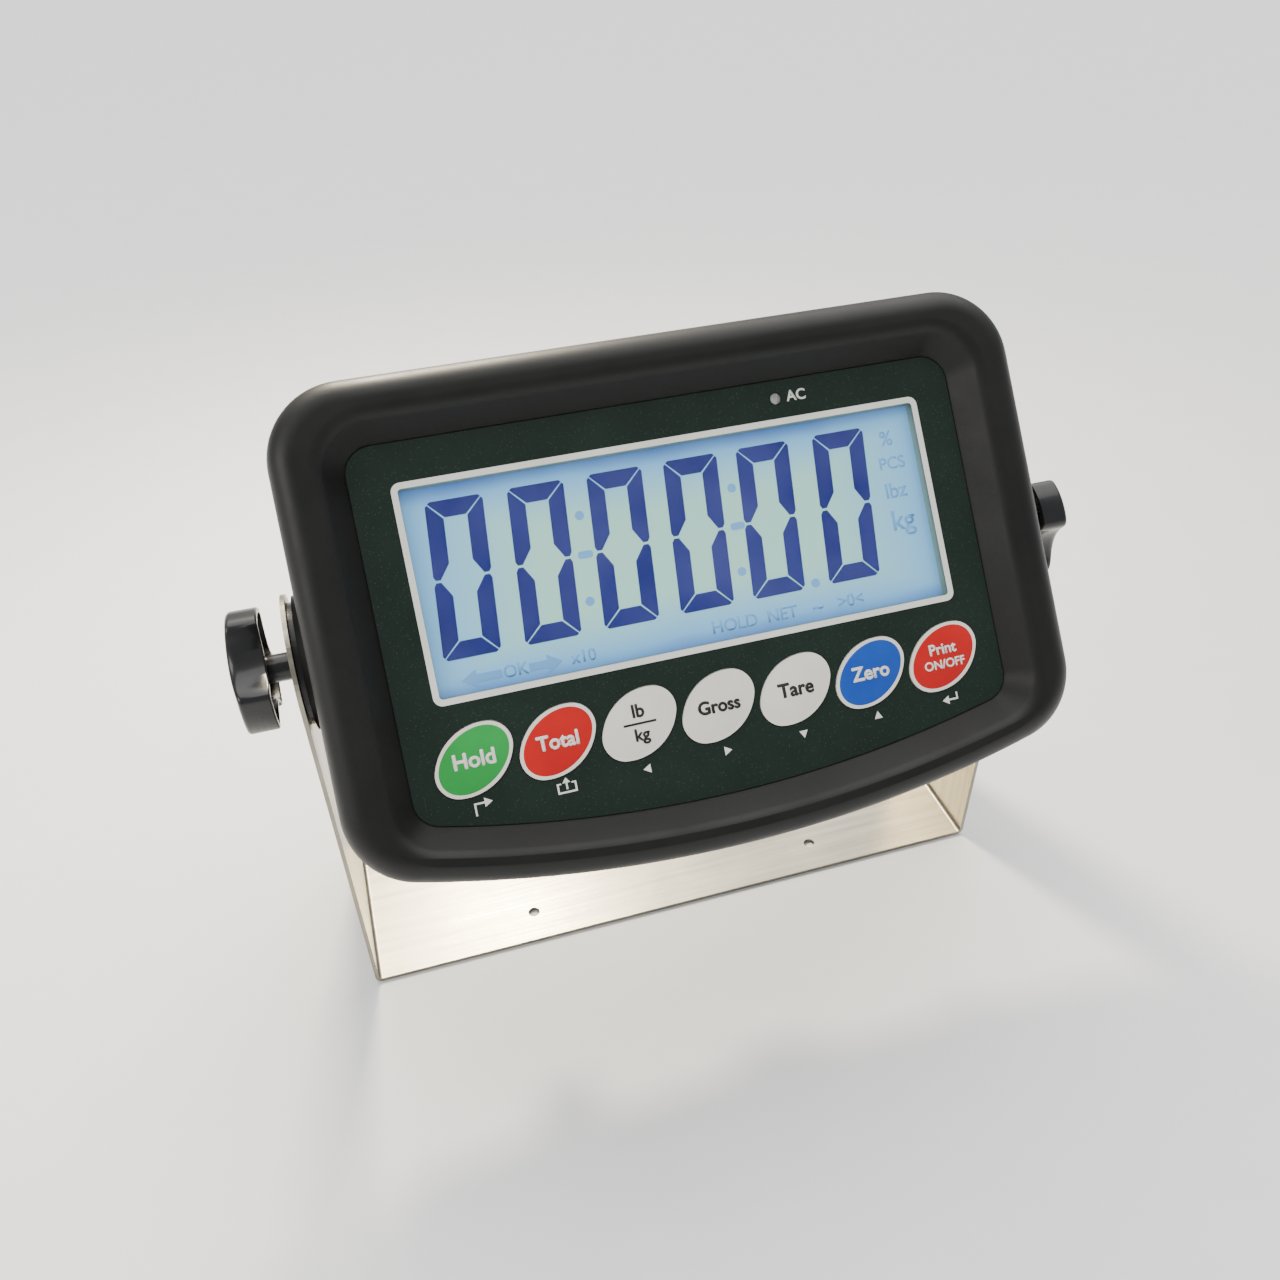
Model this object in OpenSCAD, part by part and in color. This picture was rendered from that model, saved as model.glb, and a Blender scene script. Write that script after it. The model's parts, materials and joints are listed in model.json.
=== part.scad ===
// Bench display head for a floor or pallet scale: a seven-key indicator with a six-digit
// display, hung by two lobed knobs in a folded sheet-steel bracket so that it tilts.
// Millimetres. X is to the right, Y to the back, Z up. The origin is at the middle of the
// underside of the bracket's base. The head is drawn flat (u right, v up the face, n out of
// the face) about its pivot, and is then tilted back.

/* [Bracket] */
// Gap between the side of the housing and the inside of each arm
side_gap = 5; // [4:0.1:9]
// Depth of the bracket's base from front edge to rear edge
base_d = 76; // [64:0.5:100]
// Thickness of the bracket's sheet
sheet_t = 1.5; // [1:0.1:2.5]
// Inside radius of the two bends
bend_r = 1.5; // [0.8:0.1:4]
// Height of the pivot above the bench
pivot_h = 151.6; // [125:0.1:190]
// Distance of the pivot behind the base's front edge
pivot_setback = 17.7; // [10:0.1:40]
// Radius of the rounded top of each arm
arm_r = 24; // [18:0.5:30]
// Height at which the arms start to narrow
arm_foot_h = 5; // [4:0.5:15]
// Radius of the four fixing holes in the base
base_hole_r = 2.4; // [1.5:0.1:3.5]
// Distance between left and right fixing holes
base_hole_dx = 126; // [80:1:200]
// Distance of the fixing holes from the base's front and rear edges
base_hole_in = 14.3; // [8:0.1:25]

/* [Housing] */
// Angle by which the face leans back from upright
tilt = 37.5; // [0:0.5:75]
// Width of the housing
body_w = 250; // [246:0.5:310]
// Height of the housing's top edge above the pivot, along the face
body_top = 82.5; // [80:0.5:105]
// Depth of the housing's lowest edge below the pivot, along the face
body_bottom = 87; // [85:0.5:105]
// Radius of the housing's corners
corner_r = 25; // [24.5:0.5:32]
// Radius of the arched lower edge
arch_r = 450; // [380:5:900]
// Distance of the face in front of the pivot
face_n = 39; // [35:0.5:50]
// Distance of the joint between the covers in front of the pivot
split_n = 24; // [23.5:0.5:26]
// Distance of the flat back behind the pivot
back_n = 27; // [26:0.5:40]
// Thickness of the covers' walls
wall = 3; // [2:0.1:3.4]
// Width of the raised rim at the sides, from the outside to the edge of the face
rim_side = 22.35; // [20:0.05:24]
// Width of the raised rim at the top
rim_top = 21; // [19:0.1:24]
// Width of the raised rim at the bottom
rim_bottom = 17; // [15:0.1:20]
// Radius of the corners of the face
face_r = 9; // [6:0.5:14]
// Radius of the arched lower edge of the face
face_arch_r = 430; // [360:5:900]
// Height of the rim above the face
lip_h = 9.5; // [6:0.1:12]
// Radius of the rim's outer edge
lip_round = 8.5; // [6:0.5:10]
// Width of the slope from the rim's crest down to the face
slope_w = 8; // [5:0.1:9]
// How far the rear cover's wall stands in from the front cover's
rear_inset = 3.5; // [1.5:0.1:5]
// Radius of the rear cover's back edge
back_round = 10; // [5:0.5:12]
// Radius of the pivot boss on each side
boss_r = 23; // [16:0.5:23.2]

/* [Face] */
// Thickness of the printed face sheet
overlay_t = 0.5; // [0.3:0.1:1]
// Thickness of the front cover's floor under the face sheet
floor_t = 3; // [2:0.1:3.4]
// Width of the display window
window_w = 176; // [130:0.5:180]
// Height of the display window
window_h = 67.2; // [50:0.2:70]
// Height of the window's middle above the pivot
window_v = 13; // [10:0.5:15]
// Thickness of the window lens
lens_t = 2.5; // [1.5:0.1:3]
// Half length of an oval key
key_long = 14.1; // [11:0.1:14.5]
// Half width of an oval key
key_short = 10; // [7:0.1:10.5]
// Radius of the ends of an oval key
key_end_r = 7.6; // [6:0.1:8]
// Slope of the key ovals
key_slant = 33.8; // [20:0.1:50]
// Distance between neighbouring keys
key_pitch = 27.1; // [26.8:0.1:29]
// Height of the row of keys, below the pivot
key_v = 41; // [40:0.5:46]
// How far the keys stand out of the face
key_proud = 0.6; // [0.3:0.1:2]
// How far a key travels
key_travel = 0.5; // [0.3:0.1:0.6]
// Radius of the mains lamp
lamp_r = 1.8; // [1:0.1:2.5]
// Place of the mains lamp to the right of the middle
lamp_u = 40.2; // [20:0.1:70]

/* [Knobs] */
// Radius of the knobs over their three lobes
knob_r = 21.5; // [17:0.5:28]
// Distance of a knob's hollows between the lobes from its axis
knob_waist_r = 13; // [10.5:0.5:15]
// Half the angle that one lobe's end takes up
lobe_half = 28; // [20:1:36]
// Thickness of the knobs at their edge
knob_t = 10; // [8:0.5:14]
// How far the outer face bulges
knob_crown = 2.5; // [1:0.1:4]
// Length of hub between the arm and the back of the grip
knob_stand = 8; // [5:0.5:12]
// Radius of the knob hubs
hub_r = 4.8; // [4.4:0.1:7]
// Radius of the clamping studs
stud_r = 3; // [2:0.1:3.6]
// How far the left knob is turned
left_turn = 20; // [0:1:120]
// How far the right knob is turned
right_turn = 80; // [0:1:120]

/* [Inside] */
// Length of the battery
battery_l = 134; // [100:1:140]
// Height of the battery
battery_h = 60; // [50:1:66]
// Thickness of the battery
battery_t = 34; // [25:1:36]
// Thickness of the circuit boards
board_t = 1.6; // [1:0.1:2]
// Thickness of the display glass
glass_t = 2.8; // [2:0.1:3]
// Thickness of the light panel behind the glass
light_t = 3.6; // [2:0.1:4]

/* [Hidden] */
$fn = 96;
eps = 0.01;

// clearances
fit_gap = 0.2;          // between pieces that slip into each other
slip_gap = 0.3;         // round a key
press_gap = 0.02;       // round a piece that is pressed or moulded in
thread_gap = 0.05;      // between a stud and its threaded insert
arm_gap = 0.2;          // between the friction washers and the arms

// steps along a corner, along the arch and round an edge
corner_steps = 10;
arch_steps = 12;
edge_steps = 6;

// places worked out from the sizes above
half_w = body_w / 2;
arm_in = half_w + side_gap;
bracket_w = 2 * (arm_in + sheet_t);
pivot_y = pivot_setback - base_d / 2;
washer_out = arm_in - arm_gap;
washer_t = 1.8;
boss_out = washer_out - washer_t;
crest_n = face_n + lip_h;
floor_top = face_n - overlay_t;
floor_low = floor_top - floor_t;
glass_top = floor_low - fit_gap;
light_top = glass_top - glass_t - 0.1;
board_top = split_n + 2.1;
board_low = board_top - board_t;
face_half = half_w - rim_side;
face_top = body_top - rim_top;
face_bottom = body_bottom - rim_bottom;
slope = lip_h / slope_w;
body = [half_w, body_top, body_bottom, corner_r, arch_r];
face = [face_half, face_top, face_bottom, face_r, face_arch_r];
lamp_v = window_v + window_h / 2 + 8.7;

// joint between the covers
ledge_w = 2;
ledge_h = 3;
flange_in = 0.8;
flange_h = 5;
seal_in = 2.2;
seal_w = 1.8;
seal_deep = split_n - boss_r - 0.2;  // the groove stays above the boss discs

// display stack
glass_w = window_w + 8;
glass_h = window_h + 8.8;
holder_rim = 1.8;
light_h = window_h + 1.8;
strip_w = 2;

// switches under the keys
key_low = floor_low - slip_gap;
flange_t = 0.8;
flange_w = 0.8;
switch_top = key_low - flange_t - key_travel - 0.1;
switch_h = 3.5;
keypad_top = switch_top - switch_h;
keypad_h = 29;
key_places = [-3, -2, -1, 0, 1, 2, 3];

// screws
screw_r = 1.5;
screw_hole_r = 1.7;
pilot_r = 1.55;
screw_head_r = 2.9;
screw_boss_r = 4;
screw_tube_r = 5;
screw_seat_n = -8;
screw_tip_n = split_n + 9;
corner_step = (corner_r - 12) / sqrt(2);
// each screw's place and the top of its boss, which ends inside the rim's wall
cover_screw_at = concat(
    [for (sx = [-1, 1]) [sx * (half_w - corner_r + corner_step), body_top - corner_r + corner_step,
        crest_n - 3.5]],
    [for (sx = [-1, 1]) [sx * (half_w - corner_r + corner_step), low_at(body) - corner_step,
        face_n + 2]],
    [[0, body_top - 12, face_n + 2], [0, 13 - body_bottom, face_n - 1.5]]);
post_r = 2.8;
board_half = face_half + 1;
board_up = body_top - 20;
board_down = -62;
post_u = face_half - 3.2;
post_at = [for (sx = [-1, 1], v = [board_up - 4, board_down + 6]) [sx * post_u, v]];

// battery bay
battery_v = -8;
bay_low = wall - back_n + 0.5;
bay_wall = 2;
strap_t = 1.2;
strap_w = 16;
strap_tab = 9;
strap_hole_u = battery_l / 2 + fit_gap + bay_wall + strap_tab / 2;
strap_post_r = 3.2;

// sockets on the back
socket_v = -56;
cell_socket_u = -66;
serial_socket_u = 0;
charger_socket_u = 62;
cell_thread_r = 7.8;
cell_flange_r = 10;
cell_bore_r = 6.2;
socket_stand = 11;
serial_w = 25;
serial_h = 8.4;
serial_flange_w = 31;
serial_flange_h = 13;
serial_screw_dx = 25.6;
charger_r = 5.6;
charger_bore_r = 2.8;
seal_t = 1;
vent_u = 84;
vent_v = 52;
vent_r = 5;

// pivot
insert_r = 5;
insert_l = 15;
insert_out = boss_out - 0.5;
insert_boss_r = 9;
stud_in = 13;           // how far a stud reaches into its insert
arm_hole_r = stud_r + 0.3;
washer_r = boss_r - 2;
hub_gap = 0.3;

// ---------------------------------------------------------------- shared shapes

// moves a piece from the flat drawing of the head to its tilted place
module head() {
    translate([0, pivot_y, pivot_h]) rotate([90 - tilt, 0, 0]) children();
}

// The rounded outlines are lists: half width, top, bottom, corner radius, radius of the
// arched lower edge. These give the middle of the arch, the height of the lower corners'
// centres and half the angle of the arch.
function arch_at(o) = o[4] - o[2];
function low_at(o) = arch_at(o) - sqrt(pow(o[4] - o[3], 2) - pow(o[0] - o[3], 2));
function arch_half(o) = asin((o[0] - o[3]) / (o[4] - o[3]));

// points along an arc about (x, y) with the radius r, from one angle to another
function arc_points(x, y, r, from, to, steps) =
    [for (i = [0:steps]) let (a = from + (to - from) * i / steps) [x + r * cos(a), y + r * sin(a)]];

// the right side of the outline o, moved in by s, from the top down to the arch
function right_side(o, s) = concat(
    arc_points(o[0] - o[3], o[1] - o[3], o[3] - s, 90, 0, corner_steps),
    arc_points(o[0] - o[3], low_at(o), o[3] - s, 0, arch_half(o) - 90, corner_steps));

// the whole outline o, moved in by s
function outline(o, s) =
    let (right = right_side(o, s), n = len(right),
        arch = arc_points(0, arch_at(o), o[4] - s, 270 + arch_half(o), 270 - arch_half(o), arch_steps))
    concat(right, [for (i = [1:arch_steps - 1]) arch[i]],
        [for (i = [n - 1:-1:0]) [-right[i][0], right[i][1]]]);

// a plate of the outline o, moved in by s, from the height n0 to n1
module plate(o, s, n0, n1) {
    translate([0, 0, n0]) linear_extrude(height = n1 - n0) polygon(outline(o, s));
}

// a closed skin over rings, each of which is [outline, inset, height]; it either closes on
// itself or is capped at its first and last ring
module skin(rings, capped) {
    n = len(outline(rings[0][0], 0));
    m = len(rings);
    points = [for (r = rings, p = outline(r[0], r[1])) [p[0], p[1], r[2]]];
    sides = [for (i = [0:capped ? m - 2 : m - 1], j = [0:n - 1], half = [0, 1])
        let (k = (i + 1) % m, l = (j + 1) % n)
        half == 0 ? [i * n + j, i * n + l, k * n + l] : [i * n + j, k * n + l, k * n + j]];
    caps = [[for (j = [n - 1:-1:0]) j], [for (j = [0:n - 1]) (m - 1) * n + j]];
    polyhedron(points = points, faces = concat(sides, capped ? caps : []), convexity = 6);
}

// a flat box given by its middle and its lowest and highest n
module slab(u, v, w, h, n0, n1) {
    translate([u - w / 2, v - h / 2, n0]) cube([w, h, n1 - n0]);
}

// a round bar along n
module rod(u, v, r, n0, n1) {
    translate([u, v, n0]) cylinder(r = r, h = n1 - n0);
}

// a round bar along the pivot, from x0 to x1 on the side sx
module pivot_rod(sx, r, x0, x1) {
    mirror([sx < 0 ? 1 : 0, 0, 0]) translate([x0, 0, 0]) rotate([0, 90, 0])
        cylinder(r = r, h = x1 - x0);
}

// a slanted key oval of four arcs, grown by g
module oval(g) {
    end_u = key_long - key_end_r;
    side_r = (key_short * key_short + end_u * end_u - key_end_r * key_end_r)
        / (2 * (key_short - key_end_r));
    join_u = (side_r + g) * end_u / (side_r - key_end_r);
    rotate(key_slant) {
        intersection() {
            translate([0, key_short - side_r]) circle(r = side_r + g);
            translate([0, side_r - key_short]) circle(r = side_r + g);
            square([2 * join_u, 4 * key_short], center = true);
        }
        for (sx = [-1, 1]) translate([sx * end_u, 0]) circle(r = key_end_r + g);
    }
}

// where on the circle (c, r) the straight edge from p touches it; side is 1 or -1
function touch(p, c, r, side) =
    let (d = norm(p - c), a = atan2(p[1] - c[1], p[0] - c[0]) + side * acos(r / d))
    c + r * [cos(a), sin(a)];

// ---------------------------------------------------------------- bracket

// the U of the bracket seen from the front, its outside moved in by s
module u_outline(s) {
    h = bracket_w / 2 - s;
    r = bend_r + sheet_t - s;
    tall = pivot_h + 2 * arm_r;
    translate([-h, s + r]) square([2 * h, tall]);
    translate([r - h, s]) square([2 * (h - r), tall]);
    for (sx = [-1, 1]) translate([sx * (h - r), s + r]) circle(r = r);
}

// the bracket seen from the side
module arm_outline() {
    hub = [pivot_y, pivot_h];
    front = [-base_d / 2, arm_foot_h];
    rear = [base_d / 2, arm_foot_h];
    polygon([[front[0], -1], [rear[0], -1], rear, touch(rear, hub, arm_r, 1),
        touch(front, hub, arm_r, -1), front]);
    translate(hub) circle(r = arm_r);
}

module bracket() {
    color([0.74, 0.72, 0.66]) difference() {
        intersection() {
            rotate([90, 0, 0]) linear_extrude(height = 3 * base_d, center = true) difference() {
                u_outline(0);
                u_outline(sheet_t);
            }
            rotate([90, 0, 90]) linear_extrude(height = 2 * bracket_w, center = true)
                arm_outline();
        }
        for (x = [-1, 1] * base_hole_dx / 2, y = [-1, 1] * (base_d / 2 - base_hole_in))
            translate([x, y, -1]) cylinder(r = base_hole_r, h = sheet_t + 2);
        translate([0, pivot_y, pivot_h]) rotate([0, 90, 0])
            cylinder(r = arm_hole_r, h = bracket_w + 2, center = true);
    }
}

// ---------------------------------------------------------------- covers

// rings of a rounded edge: the inset runs from in0 to in1 as the height runs from n0 to n1
function edge_rings(in0, in1, n0, n1) = [for (i = [0:edge_steps]) let (a = 90 * i / edge_steps)
    [body, in1 + (in0 - in1) * cos(a), n0 + (n1 - n0) * sin(a)]];

// the front cover's wall, rim and slope, down to the edge of its floor
module front_rim() {
    mid = crest_n - lip_round;
    drop = wall * sqrt(1 + slope * slope);
    under = rim_bottom - lip_round - 0.5;
    under_n = face_n - drop + slope * under;
    hollow = edge_rings(wall, lip_round, mid, under_n);
    skin(concat(
        [[body, 0, split_n]],
        edge_rings(0, lip_round, mid, crest_n),
        [[face, -slope_w, crest_n], [face, 0, face_n], [face, 0, floor_top],
            [face, 2, floor_top], [face, 2, floor_low],
            [face, (floor_low - face_n + drop) / -slope, floor_low], [face, -under, under_n]],
        [for (i = [edge_steps:-1:0]) hollow[i]],
        [[body, wall, split_n + ledge_h], [body, wall + ledge_w, split_n + ledge_h],
            [body, wall + ledge_w, split_n]]), false);
}

module front_cover() {
    color([0.12, 0.12, 0.11]) head() difference() {
        union() {
            front_rim();
            plate(face, 0.7, floor_low, floor_top);
            for (p = cover_screw_at) rod(p[0], p[1], screw_boss_r, split_n, p[2]);
            for (p = post_at) rod(p[0], p[1], post_r, board_top, floor_low + 1);
        }
        slab(0, window_v, window_w, window_h, floor_low - 1, face_n);
        translate([0, 0, floor_low - 1]) linear_extrude(height = floor_t + 2)
            for (i = key_places) translate([i * key_pitch, -key_v]) oval(slip_gap);
        rod(lamp_u, lamp_v, lamp_r + fit_gap, floor_low - 1, face_n);
        for (p = cover_screw_at) rod(p[0], p[1], pilot_r, split_n - 1, screw_tip_n + 1);
        for (p = post_at) rod(p[0], p[1], pilot_r, board_top - 1, board_top + 6);
    }
}

// the rear cover's walls, with its flange, seal groove and rounded back edge
module rear_tub() {
    mid = back_round - back_n;
    groove_out = seal_in - 0.1;
    groove_in = seal_in + seal_w + 0.1;
    outer = edge_rings(rear_inset, rear_inset + back_round, mid, -back_n);
    inner = edge_rings(rear_inset + wall, rear_inset + back_round, mid, wall - back_n);
    skin(concat(
        [for (i = [edge_steps:-1:0]) outer[i]],
        [[body, rear_inset, split_n - flange_h], [body, flange_in, split_n - flange_h],
            [body, flange_in, split_n], [body, groove_out, split_n],
            [body, groove_out, split_n - seal_deep], [body, groove_in, split_n - seal_deep],
            [body, groove_in, split_n], [body, rear_inset + wall, split_n]],
        inner), true);
}

module battery_bay() {
    bay_w = battery_l + 2 * (fit_gap + bay_wall);
    bay_h = battery_h + 2 * (fit_gap + bay_wall);
    difference() {
        slab(0, battery_v, bay_w, bay_h, -back_n + wall - 1, bay_low + battery_t / 3);
        slab(0, battery_v, bay_w - 2 * bay_wall, bay_h - 2 * bay_wall, -back_n, bay_low + battery_t);
        slab(0, battery_v, battery_l / 2, bay_h + 2, -back_n + wall, bay_low + battery_t);
    }
    for (sx = [-1, 1])
        rod(sx * strap_hole_u, battery_v, strap_post_r, 1 - back_n, bay_low + battery_t);
}

module rear_cover() {
    color([0.13, 0.13, 0.12]) head() difference() {
        union() {
            rear_tub();
            for (p = cover_screw_at) rod(p[0], p[1], screw_tube_r, -back_n + 1, split_n);
            for (sx = [-1, 1]) {
                pivot_rod(sx, boss_r, half_w - rear_inset - wall + 1, boss_out);
                pivot_rod(sx, insert_boss_r, insert_out - insert_l - 2, boss_out);
            }
            battery_bay();
        }
        for (p = cover_screw_at) {
            rod(p[0], p[1], screw_hole_r, -back_n - 1, split_n + 1);
            rod(p[0], p[1], screw_head_r + 0.3, -back_n - 1, screw_seat_n);
        }
        for (sx = [-1, 1]) {
            pivot_rod(sx, insert_r + press_gap, insert_out - insert_l, boss_out + 1);
            rod(sx * strap_hole_u, battery_v, screw_r, bay_low + battery_t - 8, bay_low + battery_t + 1);
        }
        rod(cell_socket_u, socket_v, cell_thread_r + fit_gap, -back_n - 1, wall - back_n + 1);
        slab(serial_socket_u, socket_v, serial_w - 3, serial_h + 1, -back_n - 1, wall - back_n + 1);
        for (sx = [-1, 1]) rod(serial_socket_u + sx * serial_screw_dx / 2, socket_v, screw_r,
            -back_n - 1, wall - back_n + 1);
        rod(charger_socket_u, socket_v, charger_r + fit_gap, -back_n - 1, wall - back_n + 1);
        rod(vent_u, vent_v, vent_r - 1, -back_n - 1, wall - back_n + 1);
    }
}

module cover_seal() {
    color([0.25, 0.25, 0.26]) head() difference() {
        plate(body, seal_in, split_n - seal_deep, split_n);
        plate(body, seal_in + seal_w, split_n - seal_deep - 1, split_n + 1);
    }
}

// a pan-head screw along n: its head is on the low side of seat
module screw(u, v, seat, tip) {
    rod(u, v, screw_r, seat - 1, tip);
    rod(u, v, screw_head_r, seat - 2, seat);
}

module cover_screws() {
    color([0.7, 0.7, 0.68]) head()
        for (p = cover_screw_at) difference() {
            screw(p[0], p[1], screw_seat_n, screw_tip_n);
            rod(p[0], p[1], 1, screw_seat_n - 3, screw_seat_n - 1);
        }
}

// ---------------------------------------------------------------- face and display

module face_overlay() {
    color([0.08, 0.13, 0.10]) head() translate([0, 0, floor_top]) difference() {
        linear_extrude(height = overlay_t) polygon(outline(face, fit_gap));
        slab(0, window_v, window_w, window_h, -1, 1 + overlay_t);
        translate([0, 0, -1]) linear_extrude(height = overlay_t + 2)
            for (i = key_places) translate([i * key_pitch, -key_v]) oval(slip_gap);
        rod(lamp_u, lamp_v, lamp_r + fit_gap, -1, 1 + overlay_t);
    }
}

module window_lens() {
    color([0.72, 0.86, 0.92, 0.5]) head()
        slab(0, window_v, window_w - fit_gap, window_h - fit_gap, face_n - lens_t, face_n);
}

module display_glass() {
    color([0.62, 0.82, 0.85]) head()
        slab(0, window_v, glass_w, glass_h, glass_top - glass_t, glass_top);
}

module light_panel() {
    color([0.9, 0.95, 1]) head()
        slab(0, window_v, glass_w - 4, light_h, light_top - light_t, light_top);
}

module display_holder() {
    color([0.85, 0.85, 0.82]) head() difference() {
        slab(0, window_v, glass_w + 2 * (holder_rim + fit_gap), glass_h + 2 * (holder_rim + fit_gap),
            board_top, glass_top);
        slab(0, window_v, glass_w + 2 * fit_gap, glass_h + 2 * fit_gap, board_top - 1, glass_top + 1);
    }
}

module contact_strips() {
    color([0.85, 0.35, 0.45]) head() for (s = [-1, 1])
        slab(0, window_v + s * (glass_h / 2 - strip_w / 2 - 0.5), window_w - 10, strip_w,
            board_top, glass_top - glass_t);
}

// ---------------------------------------------------------------- circuit boards

module main_board() {
    color([0.1, 0.4, 0.2]) head() difference() {
        slab(0, (board_up + board_down) / 2, 2 * board_half, board_up - board_down,
            board_low, board_top);
        for (p = post_at) rod(p[0], p[1], screw_hole_r, board_low - 1, board_top + 1);
        for (p = cover_screw_at) rod(p[0], p[1], screw_tube_r + 0.5, board_low - 1, board_top + 1);
    }
}

module board_chips() {
    color([0.1, 0.1, 0.1]) head() {
        slab(-10, 20, 14, 14, board_low - 2, board_low);
        slab(-55, 10, 10, 6, board_low - 2, board_low);
        slab(-55, -20, 8, 6, board_low - 2, board_low);
        slab(45, 15, 16, 9, board_low - 4, board_low);
    }
}

module board_plugs() {
    color([0.92, 0.9, 0.84]) head() {
        slab(cell_socket_u, -46, 15, 6, board_low - 7, board_low);
        slab(serial_socket_u, -46, 20, 6, board_low - 7, board_low);
        slab(charger_socket_u, -46, 8, 6, board_low - 7, board_low);
        slab(78, 30, 8, 6, board_low - 7, board_low);
    }
}

module board_screws() {
    color([0.7, 0.7, 0.68]) head() for (p = post_at) screw(p[0], p[1], board_low, board_top + 5.5);
}

module buzzer() {
    color([0.08, 0.08, 0.08]) head() difference() {
        rod(82, -20, 6, board_low - 8, board_low);
        rod(82, -20, 1, board_low - 9, board_low - 6);
    }
}

module keypad_board() {
    color([0.1, 0.4, 0.2]) head()
        slab(0, -key_v - 1, 6 * key_pitch + 26, keypad_h, keypad_top - board_t, keypad_top);
}

module key_switches() {
    color([0.75, 0.75, 0.72]) head() for (i = key_places) {
        slab(i * key_pitch, -key_v, 6, 6, keypad_top, switch_top - 1);
        rod(i * key_pitch, -key_v, 1.7, switch_top - 1.5, switch_top);
    }
}

module keypad_header() {
    color([0.9, 0.88, 0.8]) head()
        slab(40, -key_v - 8, 30, 5, board_top, keypad_top - board_t);
}

module mains_lamp() {
    color([0.62, 0.63, 0.62]) head() {
        rod(lamp_u, lamp_v, lamp_r, board_top, face_n - 0.1);
    }
}

// ---------------------------------------------------------------- keys

// one key: an oval pad that stands a little proud, with a flange that keeps it in
module oval_key(i) {
    head() translate([i * key_pitch, -key_v, 0]) {
        translate([0, 0, key_low - flange_t]) linear_extrude(height = flange_t) oval(flange_w);
        translate([0, 0, key_low - flange_t / 2])
            linear_extrude(height = face_n + key_proud - key_low + flange_t / 2) oval(0);
    }
}

module hold_key() { color([0.2, 0.66, 0.3]) oval_key(-3); }
module total_key() { color([0.82, 0.13, 0.11]) oval_key(-2); }
module unit_key() { color([0.93, 0.91, 0.84]) oval_key(-1); }
module gross_key() { color([0.93, 0.91, 0.84]) oval_key(0); }
module tare_key() { color([0.93, 0.91, 0.84]) oval_key(1); }
module zero_key() { color([0.13, 0.35, 0.75]) oval_key(2); }
module print_key() { color([0.82, 0.13, 0.11]) oval_key(3); }

// ---------------------------------------------------------------- battery

module battery() {
    color([0.2, 0.22, 0.25]) head()
        slab(0, battery_v, battery_l, battery_h, bay_low, bay_low + battery_t);
}

module battery_terminals() {
    color([0.8, 0.76, 0.6]) head() for (s = [-1, 1])
        slab(s * (battery_l / 2 - 12), battery_v + battery_h / 2 - 8, 5, 0.8,
            bay_low + battery_t, bay_low + battery_t + 6);
}

module battery_strap() {
    top = bay_low + battery_t;
    color([0.7, 0.7, 0.7]) head() difference() {
        slab(0, battery_v, 2 * strap_hole_u + strap_tab, strap_w, top, top + strap_t);
        for (sx = [-1, 1]) rod(sx * strap_hole_u, battery_v, screw_hole_r, top - 1, top + strap_t + 1);
    }
}

module strap_screws() {
    seat = bay_low + battery_t + strap_t;
    color([0.7, 0.7, 0.68]) head() for (sx = [-1, 1])
        translate([sx * strap_hole_u, battery_v, seat]) {
            translate([0, 0, -7]) cylinder(r = screw_r, h = 8);
            cylinder(r = screw_head_r, h = 2);
        }
}

// ---------------------------------------------------------------- sockets on the back

module load_cell_socket() {
    color([0.7, 0.7, 0.7]) head() difference() {
        union() {
            rod(cell_socket_u, socket_v, cell_thread_r, -back_n - socket_stand, wall - back_n + 6);
            rod(cell_socket_u, socket_v, cell_flange_r, -back_n - seal_t - 2, -back_n - seal_t);
            rod(cell_socket_u, socket_v, cell_flange_r, wall - back_n + fit_gap, wall - back_n + 3);
        }
        rod(cell_socket_u, socket_v, cell_bore_r, -back_n - socket_stand - 1, -back_n - 2);
    }
}

module load_cell_pins() {
    color([0.85, 0.7, 0.35]) head() for (a = [0:72:359])
        rod(cell_socket_u + 3 * cos(a), socket_v + 3 * sin(a), 0.75,
            -back_n - 8, -back_n - 2);
}

module serial_socket() {
    color([0.72, 0.72, 0.74]) head() difference() {
        union() {
            slab(serial_socket_u, socket_v, serial_flange_w, serial_flange_h,
                -back_n - seal_t - 1, -back_n - seal_t);
            slab(serial_socket_u, socket_v, 17, serial_h, -back_n - 7, wall - back_n + 8);
        }
        slab(serial_socket_u, socket_v, 15.4, serial_h - 1.6, -back_n - 8, -back_n - 1.5);
        for (sx = [-1, 1]) rod(serial_socket_u + sx * serial_screw_dx / 2, socket_v, screw_hole_r,
            -back_n - 4, -back_n);
    }
}

module charger_socket() {
    color([0.12, 0.12, 0.12]) head() difference() {
        union() {
            rod(charger_socket_u, socket_v, charger_r, -back_n - 4, wall - back_n + 10);
            rod(charger_socket_u, socket_v, charger_r + 2, -back_n - seal_t - 2, -back_n - seal_t);
            rod(charger_socket_u, socket_v, charger_r + 2, wall - back_n + fit_gap, wall - back_n + 3);
        }
        rod(charger_socket_u, socket_v, charger_bore_r, -back_n - 5, -back_n + 6);
    }
}

module socket_seals() {
    color([0.3, 0.3, 0.3]) head() {
        difference() {
            rod(cell_socket_u, socket_v, cell_flange_r - 0.5, -back_n - seal_t, -back_n);
            rod(cell_socket_u, socket_v, cell_thread_r + fit_gap, -back_n - 2, -back_n + 1);
        }
        difference() {
            rod(charger_socket_u, socket_v, charger_r + 1.5, -back_n - seal_t, -back_n);
            rod(charger_socket_u, socket_v, charger_r + fit_gap, -back_n - 2, -back_n + 1);
        }
        difference() {
            slab(serial_socket_u, socket_v, serial_flange_w - 1, serial_flange_h - 1,
                -back_n - seal_t, -back_n);
            slab(serial_socket_u, socket_v, 17 + fit_gap, serial_h + fit_gap, -back_n - 2, -back_n + 1);
            for (sx = [-1, 1]) rod(serial_socket_u + sx * serial_screw_dx / 2, socket_v,
                screw_hole_r, -back_n - 2, -back_n + 1);
        }
    }
}

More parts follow.
